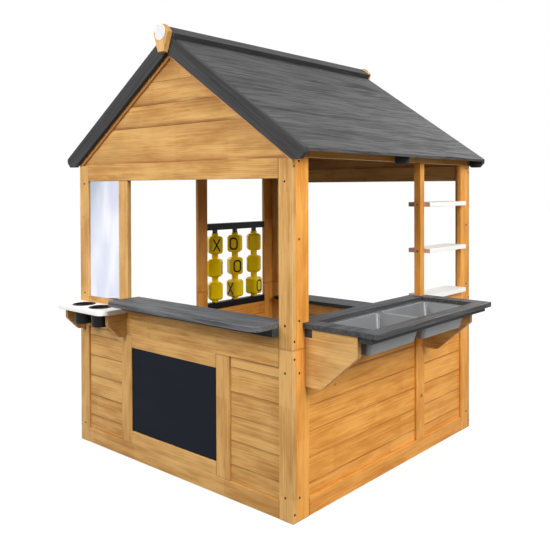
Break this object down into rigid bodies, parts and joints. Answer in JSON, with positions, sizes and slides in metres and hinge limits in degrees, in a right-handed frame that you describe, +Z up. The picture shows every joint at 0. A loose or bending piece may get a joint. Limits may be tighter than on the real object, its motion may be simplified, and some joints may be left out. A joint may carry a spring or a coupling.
{
  "type": "playhouse",
  "caption": "Timber playhouse with a serving counter, chalkboard, sink counter with lift-out basins, shelves, mirror and a noughts-and-crosses panel.",
  "frame": {"origin": "middle of the plan box of the whole object, on the floor", "axes": "+Z up; -Y is the front with the serving counter and chalkboard; +X is the side with the sink counter"},
  "size_m": [1.55, 1.387, 1.6455],
  "materials": {
    "front_wood": "satin stain",
    "side_wood": "satin stain",
    "dark_wood": "dark grey paint",
    "roof_board": "grey wood grain",
    "counter_board": "grey paint",
    "white_board": "white paint",
    "chalkboard": "matt",
    "mirror": "acrylic mirror",
    "basin_plastic": "smooth",
    "cup_plastic": "smooth",
    "tumbler_plastic": "smooth",
    "rod_metal": "painted",
    "screw_metal": "black",
    "disc_plastic": "plain"
  },
  "bodies": {
    "house": {"front_lower_frame": "front_wood", "front_cladding": "front_wood", "chalkboard": "chalkboard", "front_upper_frame": "front_wood", "mirror": "mirror", "sink_wall_lower_frame": "side_wood", "sink_wall_cladding": "side_wood", "sink_wall_upper_frame": "side_wood", "shelf_post": "side_wood", "left_wall_lower_frame": "side_wood", "left_wall_cladding": "side_wood", "left_wall_upper_frame": "side_wood", "back_lower_frame": "front_wood", "back_cladding": "front_wood", "back_upper_frame": "front_wood", "front_gable_boards": "front_wood", "back_gable_boards": "front_wood", "front_gable_battens": "front_wood", "back_gable_battens": "front_wood", "left_roof_panel": "roof_board", "right_roof_panel": "roof_board", "front_left_bargeboard": "dark_wood", "front_right_bargeboard": "dark_wood", "back_left_bargeboard": "dark_wood", "back_right_bargeboard": "dark_wood", "left_mid_rafter": "dark_wood", "right_mid_rafter": "dark_wood", "left_ridge_board": "dark_wood", "right_ridge_board": "dark_wood", "front_finial": "front_wood", "back_finial": "front_wood", "finial_disc": "disc_plastic", "serving_counter": "counter_board", "serving_counter_ledger": "dark_wood", "cup_tray": "white_board", "cup_tray_brackets": "front_wood", "sink_counter": "counter_board", "sink_counter_ledger": "dark_wood", "sink_counter_apron": "dark_wood", "near_sink_bracket": "side_wood", "far_sink_bracket": "side_wood", "shelves": "white_board", "back_counter": "counter_board", "back_counter_ledger": "dark_wood", "game_bars": "dark_wood", "game_rods": "rod_metal", "screws": "screw_metal"},
    "tumbler_1_1": {"tumbler_1_1": "tumbler_plastic"},
    "tumbler_1_2": {"tumbler_1_2": "tumbler_plastic"},
    "tumbler_1_3": {"tumbler_1_3": "tumbler_plastic"},
    "tumbler_2_1": {"tumbler_2_1": "tumbler_plastic"},
    "tumbler_2_2": {"tumbler_2_2": "tumbler_plastic"},
    "tumbler_2_3": {"tumbler_2_3": "tumbler_plastic"},
    "tumbler_3_1": {"tumbler_3_1": "tumbler_plastic"},
    "tumbler_3_2": {"tumbler_3_2": "tumbler_plastic"},
    "tumbler_3_3": {"tumbler_3_3": "tumbler_plastic"},
    "near_basin": {"near_basin": "basin_plastic"},
    "far_basin": {"far_basin": "basin_plastic"},
    "left_cup": {"left_cup": "cup_plastic"},
    "right_cup": {"right_cup": "cup_plastic"}
  },
  "joints": [
    {"name": "tumbler_1_1_turn", "type": "hinge", "parent": "house", "child": "tumbler_1_1", "pos_m": [-0.71, 0.1785, 0.7702], "axis": [0, 0, 1], "continuous": true},
    {"name": "tumbler_1_2_turn", "type": "hinge", "parent": "house", "child": "tumbler_1_2", "pos_m": [-0.71, 0.1785, 0.6542], "axis": [0, 0, 1], "continuous": true},
    {"name": "tumbler_1_3_turn", "type": "hinge", "parent": "house", "child": "tumbler_1_3", "pos_m": [-0.71, 0.1785, 0.5382], "axis": [0, 0, 1], "continuous": true},
    {"name": "tumbler_2_1_turn", "type": "hinge", "parent": "house", "child": "tumbler_2_1", "pos_m": [-0.71, 0.3155, 0.7702], "axis": [0, 0, 1], "continuous": true},
    {"name": "tumbler_2_2_turn", "type": "hinge", "parent": "house", "child": "tumbler_2_2", "pos_m": [-0.71, 0.3155, 0.6542], "axis": [0, 0, 1], "continuous": true},
    {"name": "tumbler_2_3_turn", "type": "hinge", "parent": "house", "child": "tumbler_2_3", "pos_m": [-0.71, 0.3155, 0.5382], "axis": [0, 0, 1], "continuous": true},
    {"name": "tumbler_3_1_turn", "type": "hinge", "parent": "house", "child": "tumbler_3_1", "pos_m": [-0.71, 0.4525, 0.7702], "axis": [0, 0, 1], "continuous": true},
    {"name": "tumbler_3_2_turn", "type": "hinge", "parent": "house", "child": "tumbler_3_2", "pos_m": [-0.71, 0.4525, 0.6542], "axis": [0, 0, 1], "continuous": true},
    {"name": "tumbler_3_3_turn", "type": "hinge", "parent": "house", "child": "tumbler_3_3", "pos_m": [-0.71, 0.4525, 0.5382], "axis": [0, 0, 1], "continuous": true},
    {"name": "near_basin_lift", "type": "slide", "parent": "house", "child": "near_basin", "axis": [0, 0, 1], "range_m": [0, 0.12]},
    {"name": "far_basin_lift", "type": "slide", "parent": "house", "child": "far_basin", "axis": [0, 0, 1], "range_m": [0, 0.12]},
    {"name": "left_cup_lift", "type": "slide", "parent": "house", "child": "left_cup", "axis": [0, 0, 1], "range_m": [0, 0.1]},
    {"name": "right_cup_lift", "type": "slide", "parent": "house", "child": "right_cup", "axis": [0, 0, 1], "range_m": [0, 0.1]}
  ]
}
